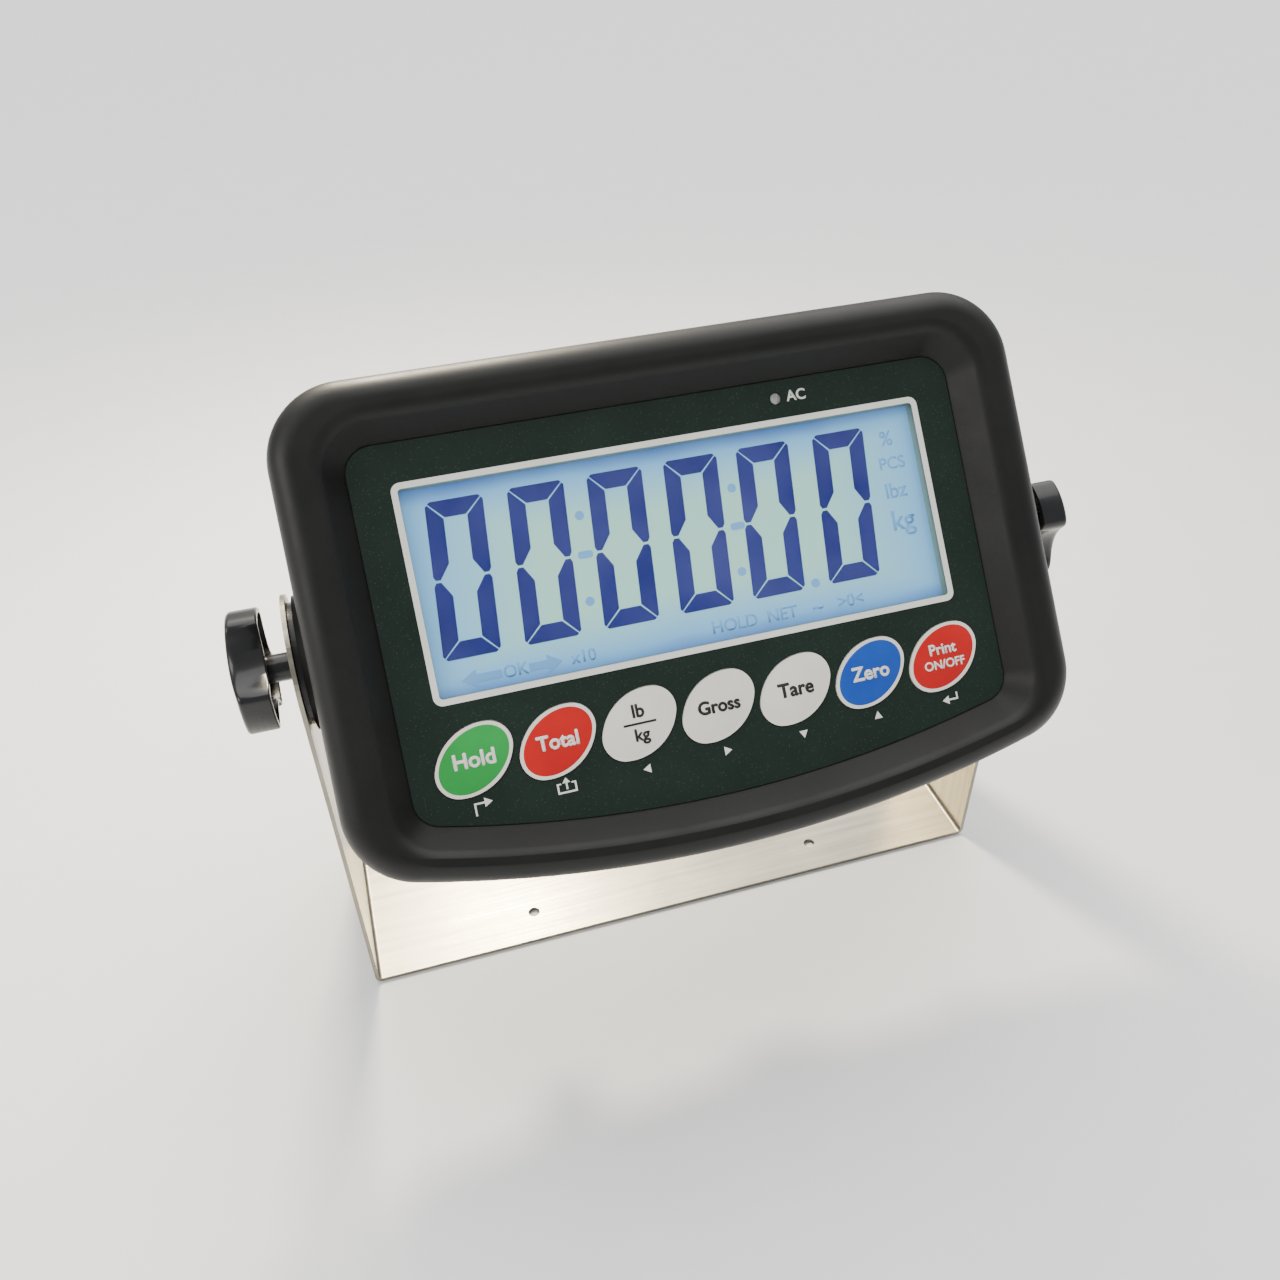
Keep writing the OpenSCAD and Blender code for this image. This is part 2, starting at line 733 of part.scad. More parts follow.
module socket_screws() {
    color([0.7, 0.7, 0.68]) head() for (sx = [-1, 1])
        difference() {
            union() {
                rod(serial_socket_u + sx * serial_screw_dx / 2, socket_v, screw_r - 0.1,
                    -back_n - seal_t - 3, wall - back_n + 2);
                translate([serial_socket_u + sx * serial_screw_dx / 2, socket_v, -back_n - seal_t - 6])
                    cylinder(r = 2.6, h = 5, $fn = 6);
            }
            rod(serial_socket_u + sx * serial_screw_dx / 2, socket_v, 1.3,
                -back_n - seal_t - 7, -back_n - seal_t - 2);
        }
}

module vent_plug() {
    color([0.1, 0.1, 0.1]) head() {
        rod(vent_u, vent_v, vent_r - 1 - press_gap, -back_n - 1, wall - back_n + 2);
        rod(vent_u, vent_v, vent_r + 2, -back_n - 2, -back_n);
    }
}

// ---------------------------------------------------------------- pivot and knobs

module pivot_inserts() {
    color([0.8, 0.65, 0.3]) head() for (sx = [-1, 1]) difference() {
        pivot_rod(sx, insert_r, insert_out - insert_l, insert_out);
        pivot_rod(sx, stud_r + thread_gap, insert_out - insert_l - 1, insert_out + 1);
    }
}

module friction_washers() {
    color([0.06, 0.06, 0.06]) head() for (sx = [-1, 1]) difference() {
        pivot_rod(sx, washer_r, boss_out, washer_out);
        pivot_rod(sx, arm_hole_r, boss_out - 1, washer_out + 1);
    }
}

// the three-lobed outline of a knob, moved in by s
module lobes(s) {
    half_hollow = 60 - lobe_half;
    tip = knob_r * [cos(half_hollow), sin(half_hollow)];
    away = (tip * tip - knob_waist_r * knob_waist_r) / (2 * (tip[0] - knob_waist_r));
    difference() {
        circle(r = knob_r - s);
        for (a = [60:120:300]) rotate(a) translate([away, 0])
            circle(r = away - knob_waist_r + s);
    }
}

// a knob with its axis along z, seen from its arm: z = 0 is the arm's outer face
module grip() {
    edge = knob_stand + knob_t;
    dome_r = (knob_r * knob_r + knob_crown * knob_crown) / (2 * knob_crown);
    shell = 2.2;
    difference() {
        union() {
            intersection() {
                translate([0, 0, knob_stand]) linear_extrude(height = knob_t + knob_crown) lobes(0);
                translate([0, 0, edge + knob_crown - dome_r]) sphere(r = dome_r, $fn = 200);
            }
            translate([0, 0, hub_gap]) cylinder(r = hub_r, h = edge - hub_gap);
        }
        difference() {
            translate([0, 0, knob_stand - 1]) linear_extrude(height = knob_t - shell + 1) lobes(shell);
            cylinder(r = hub_r, h = edge);
            for (a = [0:120:240]) rotate(a)
                translate([0, -0.8, knob_stand + 1]) cube([knob_r, 1.6, knob_t]);
        }
        translate([0, 0, -1]) cylinder(r = stud_r + press_gap, h = edge - 4);
    }
}

// puts a knob on its side of the housing, its first lobe turned from straight up to the back
module knob_place(sx, turn) {
    translate([0, pivot_y, pivot_h]) mirror([sx < 0 ? 1 : 0, 0, 0])
        translate([bracket_w / 2, 0, 0]) rotate([-turn, 0, 0]) rotate([0, 90, 0])
            rotate([0, 0, 180]) children();
}

module stud() {
    out = knob_stand + knob_t - 5.2;
    inside = bracket_w / 2 - insert_out + stud_in;
    translate([0, 0, -inside]) cylinder(r = stud_r, h = inside + out);
}

module left_knob_grip() { color([0.05, 0.05, 0.055]) knob_place(-1, left_turn) grip(); }
module left_knob_stud() { color([0.7, 0.7, 0.68]) knob_place(-1, left_turn) stud(); }
module right_knob_grip() { color([0.05, 0.05, 0.055]) knob_place(1, right_turn) grip(); }
module right_knob_stud() { color([0.7, 0.7, 0.68]) knob_place(1, right_turn) stud(); }

bracket();
front_cover();
rear_cover();
cover_seal();
cover_screws();
face_overlay();
window_lens();
display_glass();
light_panel();
display_holder();
contact_strips();
main_board();
board_chips();
board_plugs();
board_screws();
buzzer();
keypad_board();
key_switches();
keypad_header();
mains_lamp();
hold_key();
total_key();
unit_key();
gross_key();
tare_key();
zero_key();
print_key();
battery();
battery_terminals();
battery_strap();
strap_screws();
load_cell_socket();
load_cell_pins();
serial_socket();
charger_socket();
socket_seals();
socket_screws();
vent_plug();
pivot_inserts();
friction_washers();
left_knob_grip();
left_knob_stud();
right_knob_grip();
right_knob_stud();
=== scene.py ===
import bpy
import bmesh
import json
import math
from mathutils import Matrix, Vector


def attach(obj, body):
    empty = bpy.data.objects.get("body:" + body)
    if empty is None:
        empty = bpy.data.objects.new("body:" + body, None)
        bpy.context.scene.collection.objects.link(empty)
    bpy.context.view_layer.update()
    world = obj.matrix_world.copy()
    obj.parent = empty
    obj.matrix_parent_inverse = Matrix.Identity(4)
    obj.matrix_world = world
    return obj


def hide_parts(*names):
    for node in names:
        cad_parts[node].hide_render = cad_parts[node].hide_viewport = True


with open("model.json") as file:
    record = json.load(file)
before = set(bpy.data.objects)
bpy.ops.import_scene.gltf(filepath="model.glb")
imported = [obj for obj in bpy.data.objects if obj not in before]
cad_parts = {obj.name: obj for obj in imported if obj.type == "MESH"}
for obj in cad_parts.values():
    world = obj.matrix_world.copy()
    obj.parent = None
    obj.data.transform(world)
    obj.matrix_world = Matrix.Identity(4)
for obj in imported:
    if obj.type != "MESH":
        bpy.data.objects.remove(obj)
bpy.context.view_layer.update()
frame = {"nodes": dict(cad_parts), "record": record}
for one in list(bpy.context.selected_objects):
    one.select_set(False)

# The display head's own frame, in millimetres: u to the right, v up its face, n out of it.
headTurn = math.radians(52.5)
headFrame = (Matrix.Translation((0, -0.0203, 0.1516)) @ Matrix.Rotation(headTurn, 4, "X")
             @ Matrix.Scale(0.001, 4))


# Shader groups.
def makeGroup(name, inputs, outputs):
    group = bpy.data.node_groups.new(name, "ShaderNodeTree")
    for label, kind, value in inputs:
        socket = group.interface.new_socket(name=label, in_out="INPUT", socket_type=kind)
        if value is not None:
            socket.default_value = value
    for label, kind in outputs:
        group.interface.new_socket(name=label, in_out="OUTPUT", socket_type=kind)
    return group, group.nodes.new("NodeGroupInput"), group.nodes.new("NodeGroupOutput")


def addNoise(tree, place, scale, detail, rough=0.55):
    noise = tree.nodes.new("ShaderNodeTexNoise")
    tree.links.new(place, noise.inputs["Vector"])
    if isinstance(scale, (int, float)):
        noise.inputs["Scale"].default_value = scale
    else:
        tree.links.new(scale, noise.inputs["Scale"])
    noise.inputs["Detail"].default_value = detail
    noise.inputs["Roughness"].default_value = rough
    return noise.outputs["Fac"]


def addMath(tree, kind, a, b=None, clamp=False):
    node = tree.nodes.new("ShaderNodeMath")
    node.operation = kind
    node.use_clamp = clamp
    for i, value in enumerate((a, b)):
        if value is None:
            continue
        if isinstance(value, (int, float)):
            node.inputs[i].default_value = value
        else:
            tree.links.new(value, node.inputs[i])
    return node.outputs[0]


def addRange(tree, value, low, high, toLow, toHigh):
    node = tree.nodes.new("ShaderNodeMapRange")
    tree.links.new(value, node.inputs["Value"])
    for label, number in (("From Min", low), ("From Max", high), ("To Min", toLow), ("To Max", toHigh)):
        if isinstance(number, (int, float)):
            node.inputs[label].default_value = number
        else:
            tree.links.new(number, node.inputs[label])
    return node.outputs["Result"]


def makeGrainGroup():  # the fine dimples of a moulded surface, with faint handling marks
    group, enter, leave = makeGroup("mouldedGrain",
        [("Place", "NodeSocketVector", None), ("Size", "NodeSocketFloat", 1800.0),
         ("Smooth", "NodeSocketFloat", 0.4), ("Matt", "NodeSocketFloat", 0.6)],
        [("Height", "NodeSocketFloat"), ("Roughness", "NodeSocketFloat"), ("Mask", "NodeSocketFloat")])
    place = enter.outputs["Place"]
    fine = addNoise(group, place, enter.outputs["Size"], 4, 0.6)
    wide = addNoise(group, place, 38.0, 5, 0.6)
    rubbed = addRange(group, wide, 0.35, 0.7, 0.0, 1.0)
    group.links.new(fine, leave.inputs["Height"])
    group.links.new(addRange(group, rubbed, 0.0, 1.0, enter.outputs["Smooth"], enter.outputs["Matt"]),
                    leave.inputs["Roughness"])
    group.links.new(rubbed, leave.inputs["Mask"])
    return group


def makeBrushGroup():  # long fine scratches that run along the strip, with a few stronger ones
    group, enter, leave = makeGroup("brushedLines",
        [("Place", "NodeSocketVector", None), ("Along", "NodeSocketFloat", 7.0),
         ("Across", "NodeSocketFloat", 2200.0)],
        [("Height", "NodeSocketFloat"), ("Roughness", "NodeSocketFloat"), ("Tone", "NodeSocketFloat")])
    parts = group.nodes.new("ShaderNodeSeparateXYZ")
    group.links.new(enter.outputs["Place"], parts.inputs[0])
    joined = group.nodes.new("ShaderNodeCombineXYZ")
    for i, label in enumerate(("Along", "Across", "Along")):
        group.links.new(addMath(group, "MULTIPLY", parts.outputs[i], enter.outputs[label]),
                        joined.inputs[i])
    lines = addNoise(group, joined.outputs[0], 1.0, 3, 0.7)
    broad = group.nodes.new("ShaderNodeVectorMath")
    broad.operation = "MULTIPLY"
    broad.inputs[1].default_value = (1.0, 0.12, 1.0)
    group.links.new(joined.outputs[0], broad.inputs[0])
    bands = addNoise(group, broad.outputs[0], 1.0, 4, 0.6)
    patch = addNoise(group, enter.outputs["Place"], 22.0, 4, 0.6)
    group.links.new(addMath(group, "ADD", lines, addMath(group, "MULTIPLY", bands, 0.5)),
                    leave.inputs["Height"])
    rough = addMath(group, "ADD", addRange(group, lines, 0.3, 0.7, 0.24, 0.36),
                    addRange(group, patch, 0.3, 0.7, -0.03, 0.06))
    group.links.new(rough, leave.inputs["Roughness"])
    tone = addMath(group, "ADD", addMath(group, "MULTIPLY", bands, 0.6),
                   addMath(group, "MULTIPLY", patch, 0.4))
    group.links.new(addRange(group, tone, 0.3, 0.7, 0.0, 1.0), leave.inputs["Tone"])
    return group


def makeFleckGroup():  # small pale flecks in a printed film
    group, enter, leave = makeGroup("paleFlecks",
        [("Place", "NodeSocketVector", None), ("Size", "NodeSocketFloat", 900.0),
         ("Share", "NodeSocketFloat", 0.2)],
        [("Mask", "NodeSocketFloat")])
    cells = group.nodes.new("ShaderNodeTexVoronoi")
    group.links.new(enter.outputs["Place"], cells.inputs["Vector"])
    group.links.new(enter.outputs["Size"], cells.inputs["Scale"])
    dot = addRange(group, cells.outputs["Distance"], enter.outputs["Share"], 0.0, 0.0, 1.0)
    chance = group.nodes.new("ShaderNodeSeparateColor")
    group.links.new(cells.outputs["Color"], chance.inputs[0])
    some = addRange(group, chance.outputs[0], 0.45, 1.0, 0.0, 1.0)
    group.links.new(addMath(group, "MULTIPLY", dot, some, True), leave.inputs["Mask"])
    return group


grainGroup = makeGrainGroup()
brushGroup = makeBrushGroup()
fleckGroup = makeFleckGroup()


def startMaterial(name):
    material = bpy.data.materials.new(name)
    material.use_nodes = True
    tree = material.node_tree
    shader = tree.nodes["Principled BSDF"]
    place = tree.nodes.new("ShaderNodeTexCoord").outputs["Object"]
    return material, tree, shader, place


def placeGroup(tree, group, place, **values):
    node = tree.nodes.new("ShaderNodeGroup")
    node.node_tree = group
    tree.links.new(place, node.inputs["Place"])
    for label, value in values.items():
        node.inputs[label].default_value = value
    return node.outputs


def addMix(tree, mask, first, second):
    node = tree.nodes.new("ShaderNodeMix")
    node.data_type = "RGBA"
    for socket, value in ((node.inputs[0], mask), (node.inputs[6], first), (node.inputs[7], second)):
        if isinstance(value, (tuple, list)):
            socket.default_value = (*value, 1.0)
        elif isinstance(value, (int, float)):
            socket.default_value = value
        else:
            tree.links.new(value, socket)
    return node.outputs[2]


def addBump(tree, shader, height, distance, strength=1.0):
    bump = tree.nodes.new("ShaderNodeBump")
    bump.inputs["Distance"].default_value = distance
    bump.inputs["Strength"].default_value = strength
    tree.links.new(height, bump.inputs["Height"])
    tree.links.new(bump.outputs[0], shader.inputs["Normal"])


def makePlastic(name, dark, light, smooth, matt, size=1800.0, depth=0.00002, coat=0.0, glow=0.0):
    material, tree, shader, place = startMaterial(name)
    grain = placeGroup(tree, grainGroup, place, Size=size, Smooth=smooth, Matt=matt)
    colour = addMix(tree, grain["Mask"], dark, light)
    tree.links.new(colour, shader.inputs["Base Color"])
    tree.links.new(grain["Roughness"], shader.inputs["Roughness"])
    addBump(tree, shader, grain["Height"], depth)
    shader.inputs["Coat Weight"].default_value = coat
    shader.inputs["Specular IOR Level"].default_value = 0.32
    shader.inputs["Coat Roughness"].default_value = 0.12
    if glow:
        tree.links.new(colour, shader.inputs["Emission Color"])
        shader.inputs["Emission Strength"].default_value = glow
    return material


def makeMetal(name, dark, light, smooth, matt, size=900.0, depth=0.00001):
    material = makePlastic(name, dark, light, smooth, matt, size, depth)
    material.node_tree.nodes["Principled BSDF"].inputs["Metallic"].default_value = 1.0
    return material


def makeBrushed(name, look):
    material, tree, shader, place = startMaterial(name)
    lines = placeGroup(tree, brushGroup, place, Along=look["along"], Across=look["across"])
    tree.links.new(addMix(tree, lines["Tone"], look["dark"], look["light"]), shader.inputs["Base Color"])
    tree.links.new(lines["Roughness"], shader.inputs["Roughness"])
    shader.inputs["Metallic"].default_value = 1.0
    addBump(tree, shader, lines["Height"], look["depth"], 0.6)
    return material


def makeSheetMaterial(name, look):
    material, tree, shader, place = startMaterial(name)
    flecks = placeGroup(tree, fleckGroup, place, Size=look["fleckSize"], Share=look["fleckShare"])
    grain = placeGroup(tree, grainGroup, place, Size=look["grainSize"], Smooth=0.3, Matt=0.42)
    base = addMix(tree, grain["Mask"], look["dark"], look["light"])
    tree.links.new(addMix(tree, flecks["Mask"], base, look["fleck"]), shader.inputs["Base Color"])
    tree.links.new(grain["Roughness"], shader.inputs["Roughness"])
    shader.inputs["Coat Weight"].default_value = 0.1
    shader.inputs["Coat Roughness"].default_value = 0.22
    shader.inputs["Specular IOR Level"].default_value = 0.3
    addBump(tree, shader, grain["Height"], 0.000012)
    return material


def makeDisplayMaterial(name, look):
    material, tree, shader, place = startMaterial(name)
    parts = tree.nodes.new("ShaderNodeSeparateXYZ")
    tree.links.new(place, parts.inputs[0])
    low = (headFrame @ Vector((0, look["foot"], 35.4))).z
    high = (headFrame @ Vector((0, look["foot"] + look["rise"], 35.4))).z
    across = addMath(tree, "MULTIPLY", addMath(tree, "ABSOLUTE", parts.outputs[0]), 11.4)
    upDown = addRange(tree, parts.outputs[2], low, high, 0.0, 1.0)
    edge = addMath(tree, "ABSOLUTE", addMath(tree, "SUBTRACT", upDown, 0.5))
    cloud = addNoise(tree, place, 26.0, 2, 0.5)
    edge = addMath(tree, "ADD", addMath(tree, "MULTIPLY", edge, 2.0),
                   addMath(tree, "MULTIPLY", cloud, 0.25))
    edge = addMath(tree, "MAXIMUM", edge, across)
    first = addMix(tree, addRange(tree, edge, 0.55, 1.0, 0.0, 1.0), look["middle"], look["side"])
    colour = addMix(tree, addRange(tree, edge, 1.0, 1.18, 0.0, 1.0), first, look["rim"])
    tree.links.new(colour, shader.inputs["Base Color"])
    tree.links.new(colour, shader.inputs["Emission Color"])
    shader.inputs["Emission Strength"].default_value = look["glow"]
    tree.links.new(addRange(tree, cloud, 0.3, 0.7, 0.35, 0.45), shader.inputs["Roughness"])
    return material


def makeClear(name, look):
    material, tree, shader, place = startMaterial(name)
    grain = placeGroup(tree, grainGroup, place, Size=120.0, Smooth=look["smooth"], Matt=look["matt"])
    tree.links.new(addMix(tree, grain["Mask"], look["tint"], look["light"]), shader.inputs["Base Color"])
    tree.links.new(grain["Roughness"], shader.inputs["Roughness"])
    tree.links.new(addRange(tree, grain["Mask"], 0.0, 1.0, look["clear"], look["clear"] + 0.02),
                   shader.inputs["Alpha"])
    shader.inputs["Specular IOR Level"].default_value = look["shine"]
    return material


displayLook = {"middle": (0.36, 0.68, 0.58), "side": (0.17, 0.48, 0.82), "rim": (0.05, 0.18, 0.62),
               "foot": -20.6, "rise": 67.2, "glow": 0.32}
sheetLook = {"dark": (0.0045, 0.014, 0.0085), "light": (0.006, 0.018, 0.011), "fleck": (0.11, 0.15, 0.11),
             "fleckSize": 1500.0, "fleckShare": 0.26, "grainSize": 1400.0}
steelLook = {"dark": (0.23, 0.21, 0.165), "light": (0.43, 0.4, 0.325), "along": 9.0, "across": 2600.0,
             "depth": 0.000018}
lensLook = {"tint": (0.75, 0.86, 0.9), "light": (0.85, 0.93, 0.95), "smooth": 0.07, "matt": 0.16,
            "shine": 0.2, "clear": 0.01}

materials = {
    "bracket_steel": makeBrushed("brushedSteel", steelLook),
    "housing_plastic": makePlastic("housingPlastic", (0.004, 0.004, 0.0033), (0.006, 0.006, 0.005), 0.42,
                                   0.54,
                                   2300.0, 0.00004),
    "seal_rubber": makePlastic("sealRubber", (0.015, 0.015, 0.015), (0.03, 0.03, 0.03), 0.6, 0.8),
    "screw_steel": makeMetal("zincSteel", (0.55, 0.55, 0.53), (0.7, 0.7, 0.68), 0.18, 0.32),
    "face_sheet": makeSheetMaterial("printedFilm", sheetLook),
    "window": makeClear("clearWindow", lensLook),
    "display": makePlastic("displayGlass", (0.3, 0.55, 0.6), (0.35, 0.6, 0.62), 0.15, 0.3, 300.0, 0.000002),
    "light_white": makePlastic("frostedWhite", (0.7, 0.75, 0.8), (0.85, 0.88, 0.9), 0.35, 0.5),
    "pale_plastic": makePlastic("palePlastic", (0.6, 0.58, 0.52), (0.72, 0.7, 0.64), 0.4, 0.55),
    "strip_rubber": makePlastic("stripRubber", (0.5, 0.12, 0.16), (0.62, 0.17, 0.22), 0.55, 0.7),
    "board_green": makePlastic("solderMask", (0.01, 0.12, 0.04), (0.02, 0.2, 0.07), 0.25, 0.4, 700.0),
    "chip_black": makePlastic("chipBlack", (0.012, 0.012, 0.012), (0.025, 0.025, 0.025), 0.5, 0.65),
    "switch_steel": makeMetal("switchSteel", (0.55, 0.55, 0.55), (0.7, 0.7, 0.7), 0.22, 0.36),
    "lamp_grey": makePlastic("lampGrey", (0.3, 0.31, 0.3), (0.4, 0.41, 0.4), 0.2, 0.35, 600.0, 0.00001,
                             0.4),
    "key_green": makePlastic("keyGreen", (0.008, 0.3, 0.045), (0.016, 0.36, 0.06), 0.28, 0.4, 700.0,
                             0.00001, 0.35),
    "key_red": makePlastic("keyRed", (0.5, 0.002, 0.002), (0.6, 0.005, 0.004), 0.28, 0.4, 700.0, 0.00001,
                           0.35),
    "key_cream": makePlastic("keyCream", (0.78, 0.75, 0.66), (0.86, 0.83, 0.74), 0.28, 0.4, 700.0,
                             0.00001, 0.35),
    "key_blue": makePlastic("keyBlue", (0.003, 0.06, 0.4), (0.006, 0.09, 0.48), 0.28, 0.4, 700.0, 0.00001,
                            0.35),
    "battery_case": makePlastic("batteryCase", (0.02, 0.022, 0.027), (0.035, 0.037, 0.045), 0.4, 0.6),
    "pin_brass": makeMetal("brass", (0.62, 0.43, 0.14), (0.8, 0.6, 0.24), 0.2, 0.35),
    "strap_steel": makeBrushed("strapSteel", {**steelLook, "across": 1800.0}),
    "socket_metal": makeMetal("nickel", (0.55, 0.54, 0.5), (0.72, 0.71, 0.67), 0.14, 0.28),
    "socket_black": makePlastic("socketBlack", (0.012, 0.012, 0.012), (0.022, 0.022, 0.022), 0.3, 0.45),
    "washer_black": makePlastic("washerBlack", (0.01, 0.01, 0.01), (0.02, 0.02, 0.02), 0.22, 0.4),
    "knob_black": makePlastic("knobBlack", (0.007, 0.007, 0.0075), (0.012, 0.012, 0.013), 0.24, 0.36, 900.0,
                              0.00001, 0.25),
}
inkWhite = makePlastic("whiteInk", (0.74, 0.74, 0.68), (0.86, 0.85, 0.79), 0.4, 0.55, 900.0, 0.000003)
inkBlack = makePlastic("blackInk", (0.01, 0.01, 0.01), (0.022, 0.022, 0.022), 0.35, 0.5, 900.0, 0.000003)
inkNavy = makePlastic("segmentNavy", (0.001, 0.006, 0.17), (0.002, 0.01, 0.23), 0.45, 0.55, 500.0, 0.000002)
inkGhost = makePlastic("unlitSegment", (0.12, 0.36, 0.7), (0.15, 0.4, 0.74), 0.35, 0.45, 500.0, 0.000002,
                       0, 0.2)
displaySheet = makeDisplayMaterial("displaySheet", displayLook)
print("materials made", len(materials))


# CAD pieces.
slotOf = {row["node"]: row["material_slot"] for row in frame["record"]["subparts"]}
bodyOf = {name: body for body, names in frame["record"]["behaviour"]["bodies"].items() for name in names}


def paint(piece, *chosen):
    while len(piece.data.materials) < len(chosen):
        piece.data.materials.append(None)
    for i, material in enumerate(chosen):
        piece.data.materials[i] = material


def refine(piece, angle):  # a smooth shaded skin over merged points
    bpy.ops.object.select_all(action="DESELECT")
    bpy.context.view_layer.objects.active = piece
    piece.select_set(True)
    bpy.ops.object.shade_smooth_by_angle(angle=math.radians(angle))
    weigh = piece.modifiers.new("flatFaces", "WEIGHTED_NORMAL")
    weigh.keep_sharp, weigh.weight = True, 100
    bpy.ops.object.modifier_apply(modifier=weigh.name)
    piece.select_set(False)


def copyNode(node, name, angle=32):  # a merged copy of a CAD node, which it stands for
    piece = bpy.data.objects.new(name, frame["nodes"][node].data.copy())
    bpy.context.collection.objects.link(piece)
    mesh = bmesh.new()
    mesh.from_mesh(piece.data)
    bmesh.ops.remove_doubles(mesh, verts=mesh.verts, dist=1e-6)
    mesh.to_mesh(piece.data)
    mesh.free()
    refine(piece, angle)
    piece.data.materials.clear()
    paint(piece, materials[slotOf[node]])
    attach(piece, bodyOf[node])
    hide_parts(node)
    return piece


for node, piece in frame["nodes"].items():
    paint(piece, materials[slotOf[node]])
print("CAD pieces painted", len(frame["nodes"]))


# New pieces.
def newPiece(name, points, faces, material, body, place=headFrame, smooth=35):
    mesh = bpy.data.meshes.new(name)
    mesh.from_pydata([tuple(p) for p in points], [], faces)
    shape = bmesh.new()
    shape.from_mesh(mesh)
    bmesh.ops.recalc_face_normals(shape, faces=shape.faces)
    shape.to_mesh(mesh)
    shape.free()
    mesh.transform(place)
    piece = bpy.data.objects.new(name, mesh)
    bpy.context.collection.objects.link(piece)
    paint(piece, material)
    refine(piece, smooth)
    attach(piece, body)
    return piece


def loopFaces(count, loops, closed=True, capped=False):
    faces = []
    for i in range(loops if closed else loops - 1):
        k = (i + 1) % loops
        for j in range(count):
            m = (j + 1) % count
            faces.append((i * count + j, i * count + m, k * count + m, k * count + j))
    if capped:
        faces.append(tuple(range(count))[::-1])
        faces.append(tuple((loops - 1) * count + j for j in range(count)))
    return faces


def arcPoints(x, y, radius, start, end, steps):
    turns = [math.radians(start + (end - start) * i / steps) for i in range(steps + 1)]
    return [(x + radius * math.cos(a), y + radius * math.sin(a)) for a in turns]


bodyOutline = {"half": 124.88, "top": 82.38, "bottom": 86.88, "corner": 24.88, "arch": 449.88}
faceOutline = {"half": 102.65, "top": 61.5, "bottom": 70.0, "corner": 9.0, "arch": 430.0}


def outlineLoop(shape, inset, height, cornerSteps=18, archSteps=40):
    half, top, corner, arch = shape["half"], shape["top"], shape["corner"], shape["arch"]
    middle = arch - shape["bottom"]
    low = middle - math.sqrt((arch - corner) ** 2 - (half - corner) ** 2)
    spread = math.degrees(math.asin((half - corner) / (arch - corner)))
    right = (arcPoints(half - corner, top - corner, corner - inset, 90, 0, cornerSteps)
             + arcPoints(half - corner, low, corner - inset, 0, spread - 90, cornerSteps))
    under = arcPoints(0, middle, arch - inset, 270 + spread, 270 - spread, archSteps)[1:-1]
    return [(x, y, height) for x, y in right + under + [(-x, y) for x, y in right[::-1]]]


# The front cover: outer wall, rounded crown, soft inner shoulder, slope, and the wall behind them.
frontLook = {"join": 24.0, "face": 39.0, "crest": 48.5, "round": 8.5, "slopeWidth": 8.0, "shoulder": 6.5,
             "wall": 3.0, "floor": 38.5, "under": 35.5}


def makeFrontCover(look):
    crest, face, turn = look["crest"], look["face"], look["round"]
    steep = math.atan2(crest - face, look["slopeWidth"])
    reach = look["shoulder"] * math.tan(steep / 2)
    rings = [(bodyOutline, 0.5, look["join"]), (bodyOutline, 0.12, look["join"] + 0.12),
             (bodyOutline, 0.0, look["join"] + 0.5), (bodyOutline, 0.0, look["join"] + 8)]
    for i in range(15):
        a = math.radians(90 * i / 14)
        rings.append((bodyOutline, turn - turn * math.cos(a), crest - turn + turn * math.sin(a)))
    for i in range(11):
        a = steep * i / 10
        rings.append((faceOutline, -look["slopeWidth"] - reach + look["shoulder"] * math.sin(a),
                      crest - look["shoulder"] * (1 - math.cos(a))))
    slope = (crest - face) / look["slopeWidth"]
    rings += [(faceOutline, -0.9, face + 0.9 * slope), (faceOutline, -0.25, face + 0.2),
              (faceOutline, 0.0, face - 0.1),
              (faceOutline, 0.0, look["floor"]), (faceOutline, 4.0, look["floor"]),
              (faceOutline, 4.0, look["under"]),
              (faceOutline, -2.0, look["under"] - 0.5), (faceOutline, -8.0, crest - turn + 0.5),
              (bodyOutline, look["wall"] + 3.5, crest - turn + 3.0),
              (bodyOutline, look["wall"], crest - turn),
              (bodyOutline, look["wall"], look["join"])]
    loops = [outlineLoop(*ring) for ring in rings]
    points = [p for loop in loops for p in loop]
    piece = newPiece("frontCover", points, loopFaces(len(loops[0]), len(loops)),
                     materials["housing_plastic"],
                     "housing", smooth=50)
    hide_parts("front_cover")


makeFrontCover(frontLook)
copyNode("rear_cover", "rearCover", 30)
print("covers made")


# The bracket, washers, sockets and other outer pieces keep the shape of their solids.
for node, name in (("bracket", "bracketSheet"), ("friction_washers", "frictionWashers"),
                   ("vent_plug", "ventPlug"),
                   ("load_cell_socket", "loadCellSocket"), ("serial_socket", "serialSocket"),
                   ("charger_socket", "chargerSocket"), ("cover_screws", "coverScrews"),
                   ("mains_lamp", "mainsLamp"),
                   ("left_knob_stud", "leftKnobStud"), ("right_knob_stud", "rightKnobStud"),
                   ("socket_screws", "socketScrews"), ("load_cell_pins", "loadCellPins")):
    copyNode(node, name, 30)


def knobRadius(turn, look, inset):  # three lobes with round hollows between them
    tipTurn = math.radians(60 - look["lobeHalf"])
    tip = (look["radius"] * math.cos(tipTurn), look["radius"] * math.sin(tipTurn))
    away = (look["radius"] ** 2 - look["waist"] ** 2) / (2 * (tip[0] - look["waist"]))
    hollow = away - look["waist"]
    local = abs(math.degrees(turn) % 120 - 60)
    a = math.radians(local)
    limit = look["radius"]
    across = away * math.sin(a)
    if across < hollow:
        limit = min(limit, away * math.cos(a) - math.sqrt(hollow ** 2 - across ** 2))
    return limit - inset


